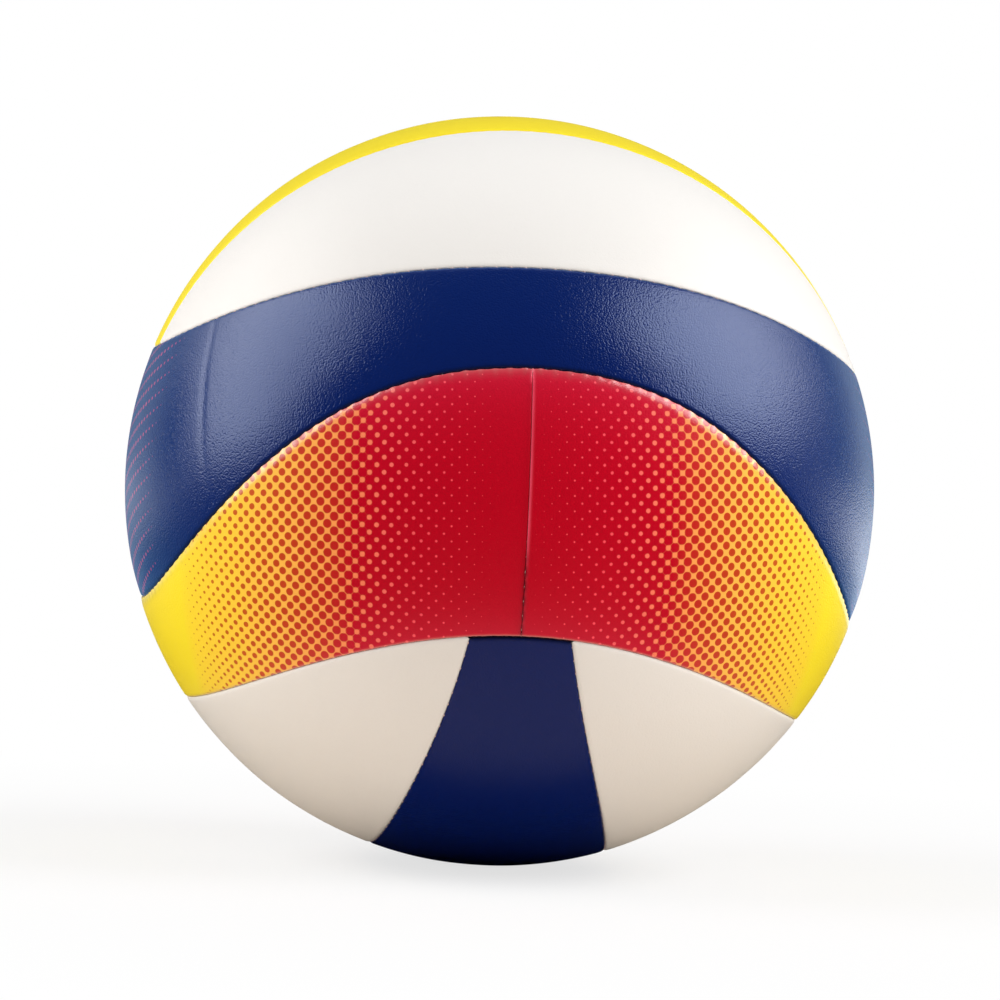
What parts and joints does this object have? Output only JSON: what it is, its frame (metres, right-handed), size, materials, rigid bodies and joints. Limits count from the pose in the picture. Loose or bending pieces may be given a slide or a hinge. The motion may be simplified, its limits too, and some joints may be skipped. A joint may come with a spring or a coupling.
{
  "type": "beach volleyball",
  "caption": "Round stitched beach volleyball: curved strip, side and band panels in bright colours over foam and a bladder, with a needle valve.",
  "frame": {"origin": "centre of the ball", "axes": "+Z through the middle of the top strip panel and the valve, +X along the top strip, -Y to the front, where the end seam of the lower bands lies"},
  "size_m": [0.2132, 0.2132, 0.2129],
  "materials": {
    "white_cover": "pebbled synthetic leather, satin",
    "yellow_cover": "pebbled synthetic leather, satin",
    "blue_cover": "pebbled synthetic leather, satin",
    "blue_red_cover": "pebbled synthetic leather, satin, dot fade to red at the ends",
    "yellow_red_cover": "pebbled synthetic leather, satin, dot fade to red at the ends",
    "foam": "foam with bonded cloth",
    "thread": "bonded sewing thread",
    "bladder_rubber": "matte",
    "valve_rubber": "matte",
    "plug_rubber": "matte"
  },
  "bodies": {
    "ball": {"top_strip_panel": "yellow_cover", "top_front_panel": "white_cover", "top_back_panel": "white_cover", "upper_band_front_panel": "blue_red_cover", "upper_band_back_panel": "blue_red_cover", "lower_band_left_panel": "yellow_red_cover", "lower_band_right_panel": "yellow_red_cover", "bottom_strip_panel": "blue_cover", "bottom_left_panel": "white_cover", "bottom_right_panel": "white_cover", "top_strip_panel_foam": "foam", "top_front_panel_foam": "foam", "top_back_panel_foam": "foam", "upper_band_front_panel_foam": "foam", "upper_band_back_panel_foam": "foam", "lower_band_left_panel_foam": "foam", "lower_band_right_panel_foam": "foam", "bottom_strip_panel_foam": "foam", "bottom_left_panel_foam": "foam", "bottom_right_panel_foam": "foam", "top_rim_thread": "thread", "wave_thread": "thread", "bottom_rim_thread": "thread", "top_strip_front_thread": "thread", "top_strip_back_thread": "thread", "bottom_strip_left_thread": "thread", "bottom_strip_right_thread": "thread", "right_end_thread": "thread", "left_end_thread": "thread", "back_end_thread": "thread", "front_end_thread": "thread", "bladder": "bladder_rubber", "valve_seat": "valve_rubber"},
    "plug": {"valve_plug": "plug_rubber"}
  },
  "joints": [
    {"name": "plug_pull", "type": "slide", "parent": "ball", "child": "plug", "axis": [0, 0, 1], "range_m": [0, 0.02]}
  ]
}
